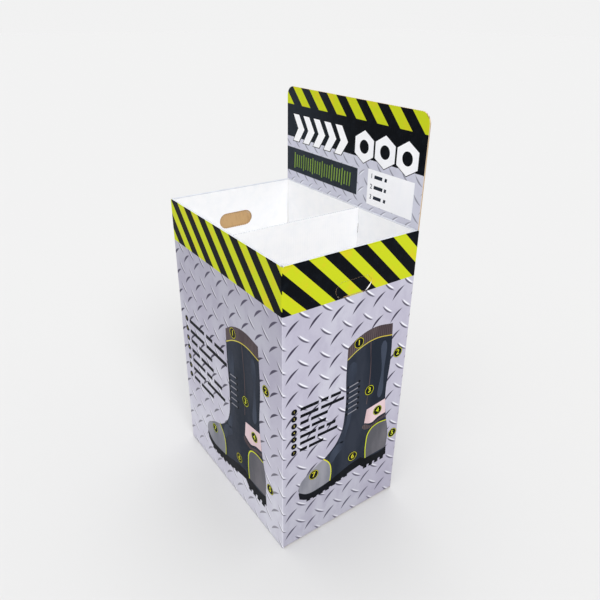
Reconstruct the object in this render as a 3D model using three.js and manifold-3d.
// A free-standing dump bin of corrugated board, in millimetres with +Z up.
// It stands on the floor with its front towards -Y and its header card at the back.
// The bin body is one sheet: four walls, a glue flap, four bottom flaps, and on each
// wall a rim rolled inwards over a second ply that hangs down inside.
import * as THREE from 'three';
import { mergeVertices } from 'three/addons/utils/BufferGeometryUtils.js';
import Module from 'manifold-3d';

const wasm = await Module();
wasm.setup();

// Board
const BOARD = 3; // thickness of the corrugated board
const FIT = 0.3; // air between pieces that rest on or against each other
const FOLD_RADIUS = 4; // outside of a folded edge
const RIM_RADIUS = 2.5; // outside edges of a rolled rim

// Bin body
const WIDTH = 500; // outside, left to right
const DEPTH = 355; // outside, front to back
const RIM_HEIGHT = 750; // floor to the top of the rim
const GLUE_FLAP = 35; // the flap that closes the body at its back left corner
const BOTTOM_SEAM = 1.5; // between the two bottom flaps where they meet
const SLOT_TOP = 1.5; // the slots between the bottom flaps end this far above the floor

// Inner plies
const PLY_GAP = 0.4; // between a wall and its inner ply
const PLY_BUTT = 0.5; // between a front or back ply and the side plies it ends at
const PLY_TAPER = 2; // each side of a ply is this much narrower at its lower edge
const PLY_OVER_SHELF = 2; // from the lower edges of the plies to the shelf

// Hand holes in the left and right walls
const HOLE_LENGTH = 97; // of the round-ended hole in the inner ply
const HOLE_HEIGHT = 41;
const HOLE_DROP = 65.5; // rim to the top of that hole
const FLAP_CLEARANCE = 1; // the push-in flap is this much inside the hole
const FLAP_KERF = 0.5; // cut round the push-in flap
const FLAP_SHOULDER = 15; // degrees above the hole's end centres, where a flap's round ends start
const CREASE_DROP = 4; // top of the hole to the crease that the push-in flap swings on
const CREASE_REACH = 6; // the crease runs this far past the hole's end centres
const CREASE_GAP = 0.4; // the crease's own line

// Header card
const HEADER_RISE = 242; // above the rim
const HEADER_CORNER = 24;
const TAB_LENGTH = 90; // the header card's two tabs
const TAB_DEPTH = 70;
const TAB_TAPER = 4; // each side of a tab, at its lower end
const TAB_SPACING = 300; // between the middles of the tabs
const TAB_PLAY = 0.5; // at each end of a tab in its slot

// Shelf and what holds it up
const SHELF_DROP = 250; // rim to the top of the shelf
const SHELF_PLAY = 1; // between the shelf and the walls
const SHELF_FLANGE = 40; // turned down round the shelf
const SUPPORT_PLAY = 1; // between the support boards and the shelf's flanges
const CROSS_SPACING = 250; // between the two cross boards

// Divider
const DIVIDER_X = 58; // right of the middle
const DIVIDER_TAB_DROP = 40; // rim to the top of its tabs
const DIVIDER_TAB_HEIGHT = 23;
const DIVIDER_TAB_PLAY = 0.5; // above and below a tab in its slot

const FOLD_STEPS = 5; // facets round a folded edge
const CURVE_STEPS = 12; // facets round a larger corner
const OVERRUN = 1; // cutters run past the faces they cut
const WELD = 1e-4; // points nearer than this are one

const INNER_FOLD = FOLD_RADIUS - BOARD;
const HEADER_GAP = BOARD + 2 * FIT; // behind the back ply, for the header's tabs and the glue flap
const RIM_THICK = 2 * BOARD + PLY_GAP;
const BACK_RIM_THICK = 2 * BOARD + HEADER_GAP;
const RAW_TOP = RIM_HEIGHT - BOARD; // the walls' raw edge, under the rolled rims
const SIDE_FLAP_FLOOR = BOARD + PLY_GAP; // the side flaps lie on the front and back ones
const WALL_FOOT = SIDE_FLAP_FLOOR + FOLD_RADIUS;
const BOTTOM_TOP = SIDE_FLAP_FLOOR + BOARD;
const SHELF_TOP = RIM_HEIGHT - SHELF_DROP;
const GLUE_FACE = DEPTH / 2 - BOARD - FIT; // outer face of the glue flap
const FRONT_INSIDE = DEPTH / 2 - RIM_THICK;
const BACK_INSIDE = DEPTH / 2 - BACK_RIM_THICK;
const FRONT_PLY_HALF = WIDTH / 2 - RIM_THICK - PLY_BUTT;

const HOLE_END = HOLE_HEIGHT / 2; // radius of the hole's round ends
const HOLE_CENTRE = RIM_HEIGHT - HOLE_DROP - HOLE_END;
const HOLE_STRAIGHT = HOLE_LENGTH / 2 - HOLE_END;
const CREASE_HEIGHT = RIM_HEIGHT - HOLE_DROP - CREASE_DROP;
const CREASE_HALF = HOLE_STRAIGHT + CREASE_REACH;

const printedBoard = new THREE.MeshStandardMaterial({ color: '#c8c6d4', roughness: 0.55, metalness: 0 });
const whiteBoard = new THREE.MeshStandardMaterial({ color: '#f2f2f0', roughness: 0.6, metalness: 0 });
const kraftBoard = new THREE.MeshStandardMaterial({ color: '#be9b6e', roughness: 0.85, metalness: 0 });

// Each wall is drawn as the front one, with its outer face looking towards -Y, and then
// turned about Z to its own side. low and high are the ends of its straight stretch.
const WALLS = {
  front: { turn: 0, distance: DEPTH / 2, low: FOLD_RADIUS - WIDTH / 2, high: WIDTH / 2 - FOLD_RADIUS },
  right: { turn: 90, distance: WIDTH / 2, low: FOLD_RADIUS - DEPTH / 2, high: DEPTH / 2 - FOLD_RADIUS },
  back: { turn: 180, distance: DEPTH / 2, low: FOLD_RADIUS - WIDTH / 2, high: WIDTH / 2 - FOLD_RADIUS },
  left: { turn: -90, distance: WIDTH / 2, low: FOLD_RADIUS - GLUE_FACE, high: DEPTH / 2 - FOLD_RADIUS },
};

function turnOf(wall) {
  return THREE.MathUtils.degToRad(wall.turn);
}

function onWall(wall, geometry) {
  return geometry.translate(0, -wall.distance, 0).rotateZ(turnOf(wall));
}

// Plan outline, raised from one height to another.
function plate(shape, from, to, steps = FOLD_STEPS) {
  const options = { depth: to - from, bevelEnabled: false, curveSegments: steps };
  return new THREE.ExtrudeGeometry(shape, options).translate(0, 0, from);
}

// Front view outline, given its thickness from one depth behind y = 0 to another.
function sheet(shape, from, to, steps = FOLD_STEPS) {
  const options = { depth: to - from, bevelEnabled: false, curveSegments: steps };
  return new THREE.ExtrudeGeometry(shape, options).rotateX(Math.PI / 2).translate(0, to, 0);
}

// Side view outline of depth and height, drawn out along X.
function profile(shape, from, to, steps = FOLD_STEPS) {
  const options = { depth: to - from, bevelEnabled: false, curveSegments: steps };
  const upright = new THREE.Matrix4().makeBasis(
    new THREE.Vector3(0, 1, 0),
    new THREE.Vector3(0, 0, 1),
    new THREE.Vector3(1, 0, 0),
  );
  return new THREE.ExtrudeGeometry(shape, options).applyMatrix4(upright).translate(from, 0, 0);
}

function polygon(points) {
  return new THREE.Shape(points.map(([x, y]) => new THREE.Vector2(x, y)));
}

function rectangle(x0, y0, x1, y1) {
  return polygon([[x0, y0], [x1, y0], [x1, y1], [x0, y1]]);
}

// A closed geometry as a solid that can be joined and cut.
function solid(geometry) {
  const bare = new THREE.BufferGeometry();
  bare.setAttribute('position', geometry.getAttribute('position'));
  if (geometry.index) bare.setIndex(geometry.index);
  const welded = mergeVertices(bare, WELD);
  const corners = [];
  for (let i = 0; i < welded.index.count; i += 3) {
    const [a, b, c] = [0, 1, 2].map((k) => welded.index.getX(i + k));
    if (a !== b && b !== c && c !== a) corners.push(a, b, c);
  }
  return new wasm.Manifold(new wasm.Mesh({
    numProp: 3,
    vertProperties: Float32Array.from(welded.getAttribute('position').array),
    triVerts: Uint32Array.from(corners),
  }));
}

function joined(geometries) {
  return geometries.map(solid).reduce((whole, piece) => whole.add(piece));
}

function without(whole, geometries) {
  return geometries.map(solid).reduce((rest, cutter) => rest.subtract(cutter), whole);
}

function part(name, body, material) {
  const { vertProperties, triVerts } = body.getMesh();
  const geometry = new THREE.BufferGeometry();
  geometry.setAttribute('position', new THREE.BufferAttribute(Float32Array.from(vertProperties), 3));
  geometry.setIndex(new THREE.BufferAttribute(Uint32Array.from(triVerts), 1));
  geometry.computeVertexNormals();
  const mesh = new THREE.Mesh(geometry, material);
  mesh.name = name;
  return mesh;
}

// The walls and the glue flap in plan: one strip of board from the back wall's raw left
// edge, round four folded corners, to the end of the glue flap behind the back wall.
function wallStrip() {
  const [x, y] = [WIDTH / 2, DEPTH / 2];
  const quarter = Math.PI / 2;
  const centres = [
    { x: x - FOLD_RADIUS, y: y - FOLD_RADIUS, start: quarter },
    { x: x - FOLD_RADIUS, y: FOLD_RADIUS - y, start: 0 },
    { x: FOLD_RADIUS - x, y: FOLD_RADIUS - y, start: -quarter },
    { x: FOLD_RADIUS - x, y: GLUE_FACE - FOLD_RADIUS, start: -2 * quarter },
  ];
  const strip = new THREE.Shape();
  strip.moveTo(-x, y);
  for (const c of centres) {
    strip.absarc(c.x, c.y, FOLD_RADIUS, c.start, c.start - quarter, true);
  }
  strip.lineTo(BOARD + GLUE_FLAP - x, GLUE_FACE);
  strip.lineTo(BOARD + GLUE_FLAP - x, GLUE_FACE - BOARD);
  for (const c of centres.toReversed()) {
    strip.absarc(c.x, c.y, INNER_FOLD, c.start - quarter, c.start, false);
  }
  strip.lineTo(-x, y - BOARD);
  return strip;
}

// Below the walls' foot only the folded corners go on down, to the ends of the slots
// between the bottom flaps.
function cornerFeet() {
  const strip = solid(plate(wallStrip(), SLOT_TOP, WALL_FOOT + OVERRUN));
  const joint = DEPTH / 2 - GLUE_FACE;
  const corners = [-1, 1].flatMap((right) => [-1, 1].map((back) => {
    const length = FOLD_RADIUS + (right < 0 && back > 0 ? joint : 0);
    const [x, y] = [right * WIDTH / 2, back * DEPTH / 2];
    const shape = rectangle(x, y, x - right * FOLD_RADIUS, y - back * length);
    return solid(plate(shape, 0, WALL_FOOT + 2 * OVERRUN));
  }));
  return corners.map((corner) => strip.intersect(corner)).reduce((a, b) => a.add(b));
}

// A wall's lower edge with the bottom flap that folds in from it.
function bottomFlap(wall, floor, reach) {
  const fold = floor + FOLD_RADIUS;
  const shape = new THREE.Shape();
  shape.moveTo(0, WALL_FOOT + OVERRUN);
  shape.absarc(FOLD_RADIUS, fold, FOLD_RADIUS, Math.PI, 1.5 * Math.PI, false);
  shape.lineTo(reach, floor);
  shape.lineTo(reach, floor + BOARD);
  shape.absarc(FOLD_RADIUS, fold, INNER_FOLD, 1.5 * Math.PI, Math.PI, true);
  shape.lineTo(BOARD, WALL_FOOT + OVERRUN);
  return onWall(wall, profile(shape, wall.low, wall.high));
}

// The rim of one wall: the board goes up over the raw edge and down inside.
function rimRoll(wall, thickness, low, high) {
  const foot = RAW_TOP - OVERRUN;
  const shape = new THREE.Shape();
  shape.moveTo(0, foot);
  shape.absarc(RIM_RADIUS, RIM_HEIGHT - RIM_RADIUS, RIM_RADIUS, Math.PI, Math.PI / 2, true);
  shape.absarc(thickness - RIM_RADIUS, RIM_HEIGHT - RIM_RADIUS, RIM_RADIUS, Math.PI / 2, 0, true);
  for (const [y, z] of [[thickness, foot], [thickness - BOARD, foot], [thickness - BOARD, RAW_TOP]]) {
    shape.lineTo(y, z);
  }
  shape.lineTo(BOARD, RAW_TOP);
  shape.lineTo(BOARD, foot);
  return onWall(wall, profile(shape, low, high));
}

// The ply that hangs from a rim, narrower at its lower edge, with what is cut out of it.
function innerPly(wall, thickness, low, high, holes) {
  const foot = SHELF_TOP + PLY_OVER_SHELF;
  const shoulder = RAW_TOP - 2 * OVERRUN; // square down to here, past the end of the rolled rim
  const shape = polygon([
    [low, RAW_TOP], [high, RAW_TOP], [high, shoulder],
    [high - PLY_TAPER, foot], [low + PLY_TAPER, foot], [low, shoulder],
  ]);
  shape.holes.push(...holes);
  return onWall(wall, sheet(shape, thickness - BOARD, thickness, CURVE_STEPS));
}

// The round-ended hand hole of a side ply.
function handHole() {
  const hole = new THREE.Path();
  hole.absarc(HOLE_STRAIGHT, HOLE_CENTRE, HOLE_END, -Math.PI / 2, Math.PI / 2, false);
  hole.absarc(-HOLE_STRAIGHT, HOLE_CENTRE, HOLE_END, Math.PI / 2, 1.5 * Math.PI, false);
  hole.closePath();
  return hole;
}

// The slot of a front or back ply that takes a tab of the divider.
function dividerSlot(wall) {
  const x = Math.cos(turnOf(wall)) * DIVIDER_X;
  const half = BOARD / 2 + FIT;
  const top = RIM_HEIGHT - DIVIDER_TAB_DROP + DIVIDER_TAB_PLAY;
  const foot = top - DIVIDER_TAB_HEIGHT - 2 * DIVIDER_TAB_PLAY;
  return rectangle(x - half, foot, x + half, top);
}

// Outline of a push-in flap, below its crease on z = 0. Its shoulders slope out from the
// ends of the crease to round ends, so that it passes through the hand hole of the ply
// behind it. margin widens it, and top is where it starts.
function flapOutline(margin, top) {
  const radius = HOLE_END - FLAP_CLEARANCE + margin;
  const centre = HOLE_CENTRE - CREASE_HEIGHT;
  const shoulder = THREE.MathUtils.degToRad(FLAP_SHOULDER);
  const shape = new THREE.Shape();
  shape.moveTo(-CREASE_HALF - margin, top);
  shape.lineTo(CREASE_HALF + margin, top);
  shape.absarc(HOLE_STRAIGHT, centre, radius, shoulder, -Math.PI / 2, true);
  shape.absarc(-HOLE_STRAIGHT, centre, radius, -Math.PI / 2, -Math.PI - shoulder, true);
  return shape;
}

// The opening of a side wall that a push-in flap closes.
function flapOpening(wall) {
  const cutter = sheet(flapOutline(FLAP_KERF, 0), -OVERRUN, BOARD + OVERRUN / 4, CURVE_STEPS);
  return onWall(wall, cutter.translate(0, 0, CREASE_HEIGHT));
}

// A slot through the back rim for a tab of the header card.
function headerSlot(x) {
  const half = TAB_LENGTH / 2 + TAB_PLAY;
  const shape = rectangle(x - half, RAW_TOP - OVERRUN, x + half, RIM_HEIGHT + OVERRUN);
  return onWall(WALLS.back, sheet(shape, BOARD, BOARD + HEADER_GAP));
}

function binBody() {
  const { front, right, back, left } = WALLS;
  const sheetOfBoard = joined([
    plate(wallStrip(), WALL_FOOT, RAW_TOP),
    bottomFlap(front, 0, (DEPTH - BOTTOM_SEAM) / 2),
    bottomFlap(back, 0, (DEPTH - BOTTOM_SEAM) / 2),
    bottomFlap(left, SIDE_FLAP_FLOOR, DEPTH / 2),
    bottomFlap(right, SIDE_FLAP_FLOOR, DEPTH / 2),
    rimRoll(front, RIM_THICK, -FRONT_PLY_HALF, FRONT_PLY_HALF),
    rimRoll(back, BACK_RIM_THICK, -FRONT_PLY_HALF, FRONT_PLY_HALF),
    rimRoll(left, RIM_THICK, left.low, left.high),
    rimRoll(right, RIM_THICK, right.low, right.high),
    innerPly(front, RIM_THICK, -FRONT_PLY_HALF, FRONT_PLY_HALF, [dividerSlot(front)]),
    innerPly(back, BACK_RIM_THICK, -FRONT_PLY_HALF, FRONT_PLY_HALF, [dividerSlot(back)]),
    innerPly(left, RIM_THICK, left.low, left.high, [handHole()]),
    innerPly(right, RIM_THICK, right.low, right.high, [handHole()]),
  ]).add(cornerFeet());
  return without(sheetOfBoard, [
    flapOpening(left),
    flapOpening(right),
    headerSlot(-TAB_SPACING / 2),
    headerSlot(TAB_SPACING / 2),
  ]);
}

// A push-in flap, drawn as on the front wall with its crease at the origin.
function handFlap() {
  return solid(sheet(flapOutline(0, -CREASE_GAP), 0, BOARD, CURVE_STEPS));
}

// The header card, drawn from the line where its shoulders meet the rim.
function headerCard() {
  const [half, top] = [WIDTH / 2, HEADER_RISE - FIT];
  const round = HEADER_CORNER;
  const shape = new THREE.Shape();
  shape.moveTo(-half, 0);
  for (const x of [-TAB_SPACING / 2, TAB_SPACING / 2]) {
    const end = TAB_LENGTH / 2;
    shape.lineTo(x - end, 0);
    shape.lineTo(x - end + TAB_TAPER, -TAB_DEPTH);
    shape.lineTo(x + end - TAB_TAPER, -TAB_DEPTH);
    shape.lineTo(x + end, 0);
  }
  shape.lineTo(half, 0);
  shape.absarc(half - round, top - round, round, 0, Math.PI / 2, false);
  shape.absarc(round - half, top - round, round, Math.PI / 2, Math.PI, false);
  return solid(sheet(shape, -BOARD / 2, BOARD / 2, CURVE_STEPS));
}

// The divider, drawn in place front to back, with its lower edge at z = 0.
function divider(height) {
  const [front, back] = [FIT - FRONT_INSIDE, BACK_INSIDE - FIT];
  const top = height - DIVIDER_TAB_DROP;
  const foot = top - DIVIDER_TAB_HEIGHT;
  const reach = BOARD + FIT;
  return solid(profile(polygon([
    [front, 0], [back, 0],
    [back, foot], [back + reach, foot], [back + reach, top], [back, top],
    [back, height], [front, height],
    [front, top], [front - reach, top], [front - reach, foot], [front, foot],
  ]), -BOARD / 2, BOARD / 2));
}

// Two flanges turned down from a panel that is as wide as from low to high.
function channel(low, high) {
  const fold = BOARD - FOLD_RADIUS;
  const shape = new THREE.Shape();
  shape.moveTo(low, BOARD - SHELF_FLANGE);
  shape.absarc(low + FOLD_RADIUS, fold, FOLD_RADIUS, Math.PI, Math.PI / 2, true);
  shape.absarc(high - FOLD_RADIUS, fold, FOLD_RADIUS, Math.PI / 2, 0, true);
  shape.lineTo(high, BOARD - SHELF_FLANGE);
  shape.lineTo(high - BOARD, BOARD - SHELF_FLANGE);
  shape.absarc(high - FOLD_RADIUS, fold, INNER_FOLD, 0, Math.PI / 2, false);
  shape.absarc(low + FOLD_RADIUS, fold, INNER_FOLD, Math.PI / 2, Math.PI, false);
  shape.lineTo(low + BOARD, BOARD - SHELF_FLANGE);
  return shape;
}

const SHELF_HALF = WIDTH / 2 - BOARD - SHELF_PLAY;
const SHELF_FRONT = BOARD + SHELF_PLAY - DEPTH / 2;
const SHELF_BACK = GLUE_FACE - BOARD - SHELF_PLAY / 2;

// The shelf, a tray turned upside down, drawn from the under side of its panel.
function shelfTray() {
  const ends = profile(channel(SHELF_FRONT, SHELF_BACK), FOLD_RADIUS - SHELF_HALF, SHELF_HALF - FOLD_RADIUS);
  const sides = profile(channel(-SHELF_HALF, SHELF_HALF), SHELF_FRONT + FOLD_RADIUS, SHELF_BACK - FOLD_RADIUS);
  return joined([ends, sides.rotateZ(Math.PI / 2)]);
}

const SUPPORT_HEIGHT = SHELF_TOP - BOARD - BOTTOM_TOP - 2 * FIT;

// A support board from low to high, with half-lap slots that open at its top or its foot.
function supportBoard(low, high, slots, openAtTop) {
  const middle = SUPPORT_HEIGHT / 2;
  const half = BOARD / 2 + FIT;
  const cutters = slots.map((x) => {
    const [foot, top] = openAtTop ? [middle - FIT / 2, SUPPORT_HEIGHT + OVERRUN] : [-OVERRUN, middle + FIT / 2];
    return sheet(rectangle(x - half, foot, x + half, top), -BOARD, BOARD);
  });
  const board = sheet(rectangle(low, 0, high, SUPPORT_HEIGHT), -BOARD / 2, BOARD / 2);
  return without(solid(board), cutters);
}

function placed(mesh, x, y, z, turn = 0) {
  mesh.position.set(x, y, z);
  mesh.rotation.z = turn;
  return mesh;
}

function shell() {
  const group = new THREE.Group();
  group.add(part('body', binBody(), printedBoard));
  for (const [name, wall] of [['left_hand_flap', WALLS.left], ['right_hand_flap', WALLS.right]]) {
    const flap = part(name, handFlap(), printedBoard);
    const outwards = Math.sign(wall.turn);
    group.add(placed(flap, outwards * wall.distance, 0, CREASE_HEIGHT, turnOf(wall)));
  }
  return group;
}

function header() {
  const group = new THREE.Group();
  const y = DEPTH / 2 - BOARD - HEADER_GAP / 2;
  group.add(placed(part('header_card', headerCard(), printedBoard), 0, y, RIM_HEIGHT + FIT));
  return group;
}

function insert() {
  const group = new THREE.Group();
  const flange = BOARD + SUPPORT_PLAY;
  const across = SHELF_HALF - flange;
  const crossings = [-CROSS_SPACING / 2, CROSS_SPACING / 2];
  const foot = BOTTOM_TOP + FIT;
  const long = supportBoard(-across, across, crossings, true);
  group.add(placed(part('support_long', long, kraftBoard), 0, 0, foot));
  for (const [name, x] of [['support_cross_left', crossings[0]], ['support_cross_right', crossings[1]]]) {
    const board = supportBoard(SHELF_FRONT + flange, SHELF_BACK - flange, [0], false);
    group.add(placed(part(name, board, kraftBoard), x, 0, foot, Math.PI / 2));
  }
  group.add(placed(part('shelf_tray', shelfTray(), whiteBoard), 0, 0, SHELF_TOP - BOARD));
  const dividerFoot = SHELF_TOP + FIT;
  const partition = part('divider', divider(RIM_HEIGHT - dividerFoot), whiteBoard);
  group.add(placed(partition, DIVIDER_X, 0, dividerFoot));
  return group;
}

const dumpBin = new THREE.Group();
dumpBin.add(shell(), header(), insert());

export default dumpBin;
